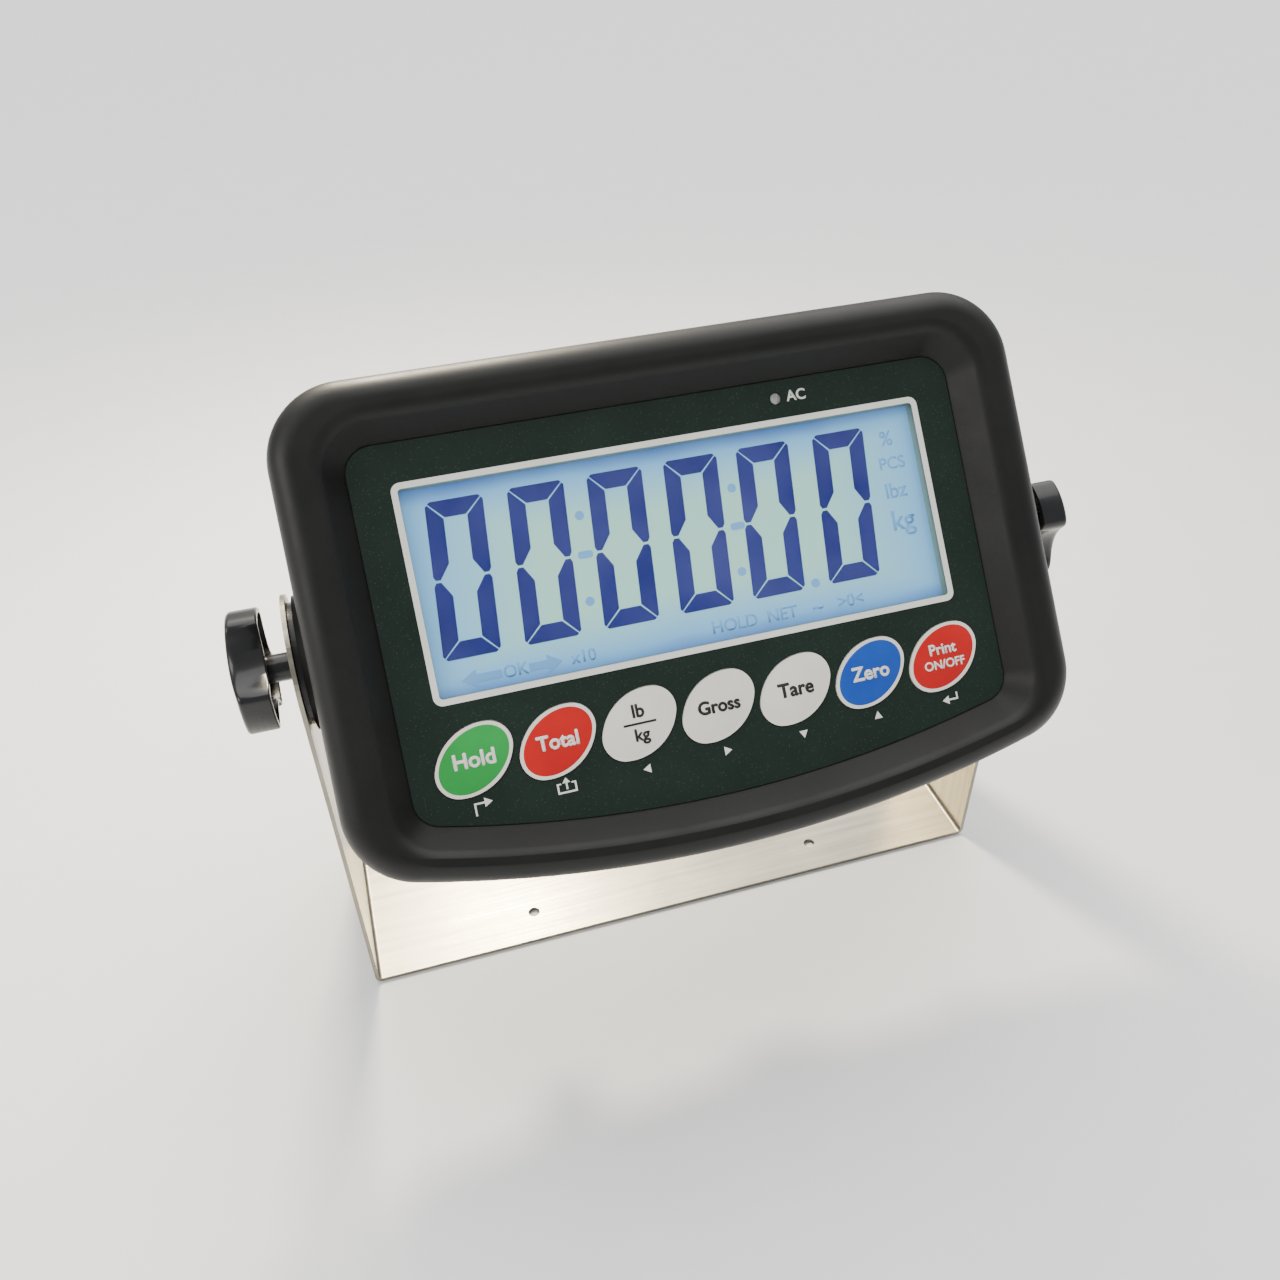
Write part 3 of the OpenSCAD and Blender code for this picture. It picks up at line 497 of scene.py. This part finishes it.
knobLook = {"radius": 21.5, "waist": 13.0, "lobeHalf": 28, "thick": 10.0, "crown": 2.5, "stand": 8.0,
            "edge": 1.6, "wall": 2.2, "hub": 4.8, "steps": 240, "passes": 16, "hubSteps": 48, "ribIn": 4,
            "ribOut": 18.5, "ribHalf": 0.8}


def smoothRadii(radii, passes):  # takes the sharpness off the lobes' tips without going outside them
    for _ in range(passes):
        radii = [min(r, (radii[i - 1] + r * 2 + radii[(i + 1) % len(radii)]) / 4) for i,
                 r in enumerate(radii)]
    return radii


def makeKnob(side, turn, look):
    steps = look["steps"]
    turns = [2 * math.pi * i / steps for i in range(steps)]
    radii = smoothRadii([knobRadius(a, look, 0) for a in turns], look["passes"])
    back, front, edge = look["stand"], look["stand"] + look["thick"], look["edge"]
    dome = (look["radius"] ** 2 + look["crown"] ** 2) / (2 * look["crown"])

    def top(radius):  # height of the domed front at a radius
        return front + look["crown"] - dome + math.sqrt(dome ** 2 - radius ** 2)

    loops = []

    def addLoop(scale, inset, height):
        loops.append([((r - inset) * scale * math.cos(a), (r - inset) * scale * math.sin(a),
                       height) for r, a in zip(radii, turns)])

    addLoop(1, look["wall"] + 0.4, back + look["thick"] - look["wall"])
    addLoop(1, look["wall"], back + look["thick"] - look["wall"] - 0.6)
    addLoop(1, look["wall"], back + 0.5)
    addLoop(1, look["wall"] - 0.4, back)
    addLoop(1, 0.5, back)
    addLoop(1, 0.0, back + 0.5)
    addLoop(1, 0.0, front - 1.2)
    for i in range(1, 9):
        a = math.radians(90 * i / 8)
        loops.append([])
        for r, t in zip(radii, turns):
            q = r - edge * (1 - math.cos(a))
            peak = top(r - edge)
            height = front - 1.2 + (peak - front + 1.2) * math.sin(a)
            loops[-1].append((q * math.cos(t), q * math.sin(t), height))
    for share in (0.82, 0.6, 0.4, 0.2, 0.05):
        loops.append([((r - edge) * share * math.cos(t), (r - edge) * share * math.sin(t),
                       top((r - edge) * share) - 0.01)
                      for r, t in zip(radii, turns)])
    points = [p for loop in loops for p in loop]
    faces = loopFaces(steps, len(loops), False, True)
    hubSteps, base = look["hubSteps"], len(points)
    hubRings = [(look["hub"] - 0.4, 0.6), (look["hub"], 1.0), (look["hub"], front - 1.5),
                (look["hub"], front - look["wall"] + 0.5)]
    for radius, height in hubRings:
        points += [(radius * math.cos(2 * math.pi * i / hubSteps),
                    radius * math.sin(2 * math.pi * i / hubSteps), height)
                   for i in range(hubSteps)]
    faces += [tuple(base + i for i in face) for face in loopFaces(hubSteps, len(hubRings), False, True)]
    for i in range(3):  # ribs behind the lobes
        a, base = math.radians(120 * i), len(points)
        half = look["ribHalf"]
        corners = ((look["ribIn"], -half), (look["ribOut"], -half), (look["ribOut"], half),
                   (look["ribIn"], half))
        for z in (back + 1, front - 2):
            points += [(x * math.cos(a) - y * math.sin(a), x * math.sin(a) + y * math.cos(a), z) for x,
                       y in corners]
        faces += [tuple(base + j for j in face) for face in
                  ((3, 2, 1, 0), (4, 5, 6, 7), (0, 1, 5, 4), (1, 2, 6, 5), (2, 3, 7, 6), (3, 0, 4, 7))]
    name = "right" if side > 0 else "left"
    place = (Matrix.Translation((0, -0.0203, 0.1516)) @ Matrix.Scale(0.001,
        4) @ Matrix.Diagonal((side, 1, 1, 1))
             @ Matrix.Translation((131.5, 0, 0)) @ Matrix.Rotation(math.radians(-turn), 4, "X")
             @ Matrix.Rotation(math.radians(90), 4, "Y") @ Matrix.Rotation(math.radians(180), 4, "Z"))
    piece = newPiece(name + "KnobGrip", points, faces, materials["knob_black"], name + "_knob",
                     place, 40)
    mesh = bmesh.new()  # the mirrored left knob was turned inside out, so its faces are turned back
    mesh.from_mesh(piece.data)
    bmesh.ops.recalc_face_normals(mesh, faces=mesh.faces)
    mesh.to_mesh(piece.data)
    mesh.free()
    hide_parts(name + "_knob_grip")


makeKnob(-1, 20, knobLook)
makeKnob(1, 80, knobLook)
print("knobs made")


# Print on the face and the keys.
def flatPiece(name, outlines, low, high, material, body, drop=None):  # raised flat shapes
    points, faces = [], []
    for outline in outlines:
        base, count = len(points), len(outline)
        points += [(x, y, low) for x, y in outline] + [(x, y, high) for x, y in outline]
        faces += [tuple(base + count + i for i in range(count)),
                  tuple(base + i for i in range(count))[::-1]]
        faces += [(base + i, base + (i + 1) % count, base + count + (i + 1) % count, base + count + i)
                  for i in range(count)]
    if drop:
        points = [(x, y, z + drop(x, y)) for x, y, z in points]
    return newPiece(name, points, faces, material, body, smooth=25)


# Lettering: the font's size and capital height, how much heavier it is made, its thickness, the
# longest edge left on a domed key, and how far it stands clear of the dome.
letterLook = {"size": 10.0, "capital": 7.2, "heavier": 0.1, "thick": 0.06, "longest": 0.9, "clear": 0.03}


def textPiece(name, words, u, v, height, n, material, body, drop=None, bold=0.0):
    curve = bpy.data.curves.new(name, "FONT")
    curve.body = words
    curve.align_x = "CENTER"
    curve.align_y = "CENTER"
    curve.space_line = 0.85
    curve.size = letterLook["size"]
    curve.offset = letterLook["heavier"]
    holder = bpy.data.objects.new(name, curve)
    bpy.context.collection.objects.link(holder)
    bpy.ops.object.select_all(action="DESELECT")
    holder.select_set(True)
    bpy.context.view_layer.objects.active = holder
    bpy.ops.object.convert(target="MESH")
    piece = bpy.context.view_layer.objects.active
    piece.name = name
    mesh = piece.data
    scale = height / letterLook["capital"]
    mesh.transform(Matrix.Translation((u, v, 0)) @ Matrix.Diagonal((scale, scale, 1, 1)))
    shape = bmesh.new()
    shape.from_mesh(mesh)
    bmesh.ops.remove_doubles(shape, verts=shape.verts, dist=1e-4)
    flat = list(shape.faces)
    grown = bmesh.ops.extrude_face_region(shape, geom=flat)
    for vert in [g for g in grown["geom"] if isinstance(g, bmesh.types.BMVert)]:
        vert.co.z += letterLook["thick"]
    whole = list(shape.verts) + list(shape.edges) + list(shape.faces)
    for k, (x, y) in enumerate(((bold, 0), (-bold, 0), (0, bold), (0, -bold)) if bold else ()):
        twin = bmesh.ops.duplicate(shape, geom=whole)
        for vert in [g for g in twin["geom"] if isinstance(g, bmesh.types.BMVert)]:
            vert.co += Vector((x, y, 0.004 * (k + 1)))
    bmesh.ops.recalc_face_normals(shape, faces=shape.faces)
    if drop:
        bmesh.ops.triangulate(shape, faces=shape.faces)
        for _ in range(2):
            longEdges = [edge for edge in shape.edges if edge.calc_length() > letterLook["longest"]]
            bmesh.ops.subdivide_edges(shape, edges=longEdges, cuts=1)
            bmesh.ops.triangulate(shape, faces=shape.faces)
    for vert in shape.verts:
        vert.co.z += n + (drop(vert.co.x, vert.co.y) + letterLook["clear"] if drop else 0)
    shape.to_mesh(mesh)
    shape.free()
    mesh.transform(headFrame)
    mesh.materials.clear()
    paint(piece, material)
    piece.select_set(False)
    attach(piece, body)
    return piece


def roundedBox(u0, u1, v0, v1, radius, steps=8):
    return (arcPoints(u1 - radius, v1 - radius, radius, 90, 0, steps) + arcPoints(u1 - radius,
        v0 + radius, radius, 0, -90, steps)
            + arcPoints(u0 + radius, v0 + radius, radius, 270, 180, steps) + arcPoints(u0 + radius,
                v1 - radius, radius, 180, 90, steps))


printLook = {"low": 39.0, "high": 39.05, "line": 2.0, "window": (-88.0, 88.0, -20.6, 46.6)}
u0, u1, v0, v1 = printLook["window"]
outer = roundedBox(u0 - printLook["line"], u1 + printLook["line"], v0 - printLook["line"],
                   v1 + printLook["line"], 3.0)
inner = roundedBox(u0 + 0.05, u1 - 0.05, v0 + 0.05, v1 - 0.05, 1.2)
rings = [[(x, y, n) for x, y in loop] for loop,
         n in ((outer, printLook["low"]), (outer, printLook["high"]), (inner, printLook["high"]),
               (inner, printLook["low"]))]
newPiece("windowFrameLine", [p for ring in rings for p in ring], loopFaces(len(outer), 4), inkWhite,
         "housing")

textPiece("mainsWord", "AC", 47.6, 55.4, 3.6, printLook["low"], inkWhite, "housing",
          bold=0.08)
print("face print made")


# Display.
digitLook = {"width": 18.6, "tall": 50.5, "stroke": 5.5, "gap": 0.42, "lean": 3.9 / 50.5, "foot": -9.1,
             "left": (-84.3, -57.8, -31.4, -5.3, 20.2, 47.7), "low": 35.42, "high": 35.5}


def digitOutlines(look, left):
    w, h, t, g = look["width"], look["tall"], look["stroke"], look["gap"]
    bar = [(g + 1.1, h), (w - g - 1.1, h), (w - g - 0.4, h - 0.6), (w - g - t, h - t), (g + t, h - t),
           (g + 0.4, h - 0.6)]
    post = [(w, h - g - 1.1), (w - 0.6, h - g - 0.5), (w - t, h - t - g), (w - t, h / 2 + t * 0.95),
            (w - t * 0.42, h / 2 + g),
            (w - 0.7, h / 2 + g), (w, h / 2 + g + 1.2)]
    shapes = [bar, [(x, h - y) for x, y in bar][::-1], post, [(x, h - y) for x, y in post][::-1]]
    shapes += [[(w - x, y) for x, y in shape][::-1] for shape in shapes[2:4]]
    return [[(left + x + y * look["lean"], look["foot"] + y) for x, y in shape] for shape in shapes]


flatPiece("displaySheet", [roundedBox(-87.7, 87.7, -20.3, 46.3, 0.8)], 35.3, 35.38, displaySheet,
          "housing")
flatPiece("displayDigits", [shape for left in digitLook["left"] for shape in digitOutlines(digitLook,
    left)],
          digitLook["low"], digitLook["high"], inkNavy, "housing")
ghosts = []
for left in (digitLook["left"][1], digitLook["left"][3]):
    for rise in (10.0, 38.0):
        ghosts.append(arcPoints(left + 22.6 + rise * digitLook["lean"], digitLook["foot"] + rise, 1.5, 0,
                                345, 23))
    ghosts.append(roundedBox(left + 20.6 + 1.9, left + 25.6 + 1.9, digitLook["foot"] + 24,
                             digitLook["foot"] + 26.4, 1.0))
ghosts.append(arcPoints(digitLook["left"][4] + 22.6, digitLook["foot"] + 1.4, 1.5, 0, 345, 23))
ghosts.append([(-80, -16.2), (-75, -13.2), (-75, -14.9), (-67, -14.9), (-67, -17.5), (-75, -17.5),
               (-75, -19.2)])
ghosts.append([(-47, -16.2), (-52, -13.2), (-52, -14.9), (-58, -14.9), (-58, -17.5), (-52, -17.5),
               (-52, -19.2)])
flatPiece("displayIcons", ghosts, digitLook["low"], digitLook["high"], inkGhost, "housing")
for name, words, u, v, tall in (("Percent", "%", 78, 36, 5), ("Pieces", "PCS", 78.5, 27.5, 4.2),
                                ("Pounds", "lbz", 78, 18, 5.2),
                                ("Kilograms", "kg", 78.5, 7.5, 7), ("Checked", "OK", -62.5, -16.2, 4),
                                ("Times", "x10", -40, -16.2, 4), ("Held", "HOLD", 12, -15.8, 4.2),
                                ("Net", "NET", 29, -15.8, 4.2), ("Level", "~", 42, -15.8, 5),
                                ("Nought", ">0<", 54, -15.8, 4.2)):
    textPiece("display" + name, words, u, v, tall, digitLook["low"], inkGhost, "housing")
print("display made")


# Keys.
keyLook = {"pitch": 27.1, "row": -41.0, "top": 39.6, "long": 12.9, "short": 8.8, "turn": 33.8, "dome": 0.45}
keys = [  # key, material, words, letters' material, letter height
    ("hold", "key_green", "Hold", inkWhite, 5.0), ("total", "key_red", "Total", inkWhite, 4.7),
    ("unit", "key_cream", "", inkBlack, 4.6), ("gross", "key_cream", "Gross", inkBlack, 4.3),
    ("tare", "key_cream", "Tare", inkBlack, 4.7), ("zero", "key_blue", "Zero", inkWhite, 4.7),
    ("print", "key_red", "", inkWhite, 3.4)]


def domeHeight(u, look):  # height of a key's dome above its rim, as a function of place
    turn = math.radians(look["turn"])

    def height(x, y):
        x, y = x - u, y - look["row"]
        along, across = x * math.cos(turn) + y * math.sin(turn), y * math.cos(turn) - x * math.sin(turn)
        return look["dome"] * max(0.0, 1 - (along / look["long"]) ** 2 - (across / look["short"]) ** 2)
    return height


for i, (key, slotName, words, ink, tall) in enumerate(keys):
    u, body = (i - 3) * keyLook["pitch"], key + "_key"
    turn = math.radians(keyLook["turn"])
    cad = frame["nodes"][body]
    paint(cad, materials["key_cream"])
    height = domeHeight(u, keyLook)
    points, steps, rings = [], 72, 14
    for k in range(rings):
        share = 1 - k / rings
        for j in range(steps):
            a = 2 * math.pi * j / steps
            x, y = keyLook["long"] * share * math.cos(a), keyLook["short"] * share * math.sin(a)
            across = u + x * math.cos(turn) - y * math.sin(turn)
            upward = keyLook["row"] + x * math.sin(turn) + y * math.cos(turn)
            points.append((across, upward, keyLook["top"] + height(across, upward) + 0.02))
    low = [(x, y, keyLook["top"] - 0.05) for x, y, _ in points[:steps]]
    newPiece(key + "KeyFace", low + points, loopFaces(steps, rings + 1, False, True), materials[slotName],
             body,
             smooth=30)
    if words:
        textPiece(key + "KeyWord", words, u, keyLook["row"], tall, keyLook["top"], ink, body,
                  height, bold=0.16)
row = keyLook["row"]
unit, last = -keyLook["pitch"], 3 * keyLook["pitch"]
unitHeight, lastHeight = domeHeight(unit, keyLook), domeHeight(last, keyLook)
textPiece("unitKeyTop", "lb", unit, row + 4.0, 4.3, 39.62, inkBlack, "unit_key", unitHeight,
          bold=0.12)
textPiece("unitKeyLow", "kg", unit, row - 3.8, 4.0, 39.62, inkBlack, "unit_key", unitHeight,
          bold=0.12)
strips = [roundedBox(unit - 5.5 + k, unit - 4.5 + k, row - 0.3, row + 0.4, 0.02, 1) for k in range(11)]
flatPiece("unitKeyLine", strips, 39.6, 39.7, inkBlack, "unit_key", unitHeight)
textPiece("printKeyTop", "Print", last, row + 2.6, 3.7, 39.62, inkWhite, "print_key",
          lastHeight, bold=0.1)
textPiece("printKeyLow", "ON/OFF", last, row - 2.6, 3.0, 39.62, inkWhite, "print_key",
          lastHeight, bold=0.08)

# The small signs under the keys.
signRow = -56.0  # height of the signs' middles on the face
signs = []
for i, kind in enumerate(("turn", "tray", "left", "right", "down", "up", "enter")):
    u = (i - 3) * keyLook["pitch"]
    if kind == "turn":
        signs += [[(u - 2.8, signRow - 2.6), (u - 2.2, signRow - 2.6), (u - 2.2, signRow + 0.9),
                   (u + 0.6, signRow + 0.9),
                   (u + 0.6, signRow - 0.3), (u + 3.2, signRow + 1.2), (u + 0.6, signRow + 2.7),
                   (u + 0.6, signRow + 1.5),
                   (u - 2.8, signRow + 1.5)]]
    elif kind == "tray":
        signs += [[(u - 3.2, signRow - 1.8), (u + 3.2, signRow - 1.8), (u + 3.2, signRow + 1.6),
                   (u + 1.7, signRow + 1.6),
                   (u + 1.7, signRow + 1.1), (u + 2.6, signRow + 1.1), (u + 2.6, signRow - 1.2),
                   (u - 2.6, signRow - 1.2),
                   (u - 2.6, signRow + 1.1), (u - 1.7, signRow + 1.1), (u - 1.7, signRow + 1.6),
                   (u - 3.2, signRow + 1.6)],
                  [(u - 0.3, signRow - 0.6), (u + 0.3, signRow - 0.6), (u + 0.3, signRow + 1.5),
                   (u + 1.3, signRow + 1.5),
                   (u, signRow + 3.2), (u - 1.3, signRow + 1.5), (u - 0.3, signRow + 1.5)]]
    elif kind == "enter":
        signs += [[(u - 3.0, signRow), (u - 0.6, signRow + 1.5), (u - 0.6, signRow + 0.3),
                   (u + 2.2, signRow + 0.3),
                   (u + 2.2, signRow + 2.2), (u + 2.8, signRow + 2.2), (u + 2.8, signRow - 0.3),
                   (u - 0.6, signRow - 0.3),
                   (u - 0.6, signRow - 1.5)]]
    else:
        turn = {"left": 180, "right": 0, "up": 90, "down": 270}[kind]
        signs += [arcPoints(u, signRow, 1.7, turn, turn + 240, 2)]
flatPiece("keySigns", signs, printLook["low"], printLook["high"], inkWhite, "housing")
print("keys made")


# Floor, light and camera.
def addArea(name, place, aim, size, power, colour):
    light = bpy.data.lights.new(name, "AREA")
    light.shape = "RECTANGLE"
    light.size, light.size_y = size
    light.energy, light.color = power, colour
    holder = bpy.data.objects.new(name, light)
    bpy.context.collection.objects.link(holder)
    holder.location = place
    holder.rotation_euler = (Vector(aim) - Vector(place)).to_track_quat("-Z", "Y").to_euler()


floorMaterial = makePlastic("floorPaper", (0.86, 0.86, 0.86), (0.88, 0.88, 0.88), 0.8, 0.9, 300.0, 0.000002)
bpy.ops.mesh.primitive_plane_add(size=8, location=(0, 0, -0.0002))
floor = bpy.context.active_object
floor.name = "floor"
paint(floor, floorMaterial)
world = bpy.data.worlds.new("softWorld")
world.use_nodes = True
world.node_tree.nodes["Background"].inputs["Color"].default_value = (0.95, 0.97, 1.0, 1.0)
world.node_tree.nodes["Background"].inputs["Strength"].default_value = 0.62
bpy.context.scene.world = world
sunData = bpy.data.lights.new("softSun", "SUN")
sunData.energy, sunData.angle, sunData.color = 3.9, 1.4, (1.0, 0.99, 0.97)
sun = bpy.data.objects.new("softSun", sunData)
bpy.context.collection.objects.link(sun)
sun.rotation_euler = (math.radians(-22), math.radians(12), 0)
addArea("leftLight", (-1.1, -0.3, 0.8), (0, 0, 0.1), (0.6, 0.6), 7.0, (1.0, 0.97, 0.93))
addArea("warmGlint", (-0.05, 0.354, 0.474), (-0.08, -0.03, 0.0), (0.1, 0.07), 5.0, (1.0, 0.88, 0.66))

viewLook = {"place": (-0.09983, -0.35054, 0.39483), "azimuth": 15.105, "down": 37.533, "roll": -2.262,
            "lens": 32.88}
azimuth, down, roll = (math.radians(viewLook[k]) for k in ("azimuth", "down", "roll"))
forward = Vector((math.sin(azimuth) * math.cos(down), math.cos(azimuth) * math.cos(down), -math.sin(down)))
right = forward.cross(Vector((0, 0, 1))).normalized()
up = right.cross(forward)
sideways = right * math.cos(roll) + up * math.sin(roll)
upwards = up * math.cos(roll) - right * math.sin(roll)
cameraData = bpy.data.cameras.new("camera")
cameraData.lens = viewLook["lens"]
cameraData.sensor_width = 36.0
cameraData.clip_start = 0.01
camera = bpy.data.objects.new("camera", cameraData)
bpy.context.collection.objects.link(camera)
turned = Matrix((sideways, upwards, -forward)).transposed().to_4x4()
camera.matrix_world = Matrix.Translation(viewLook["place"]) @ turned
bpy.context.scene.camera = camera
print("floor, light and camera set")
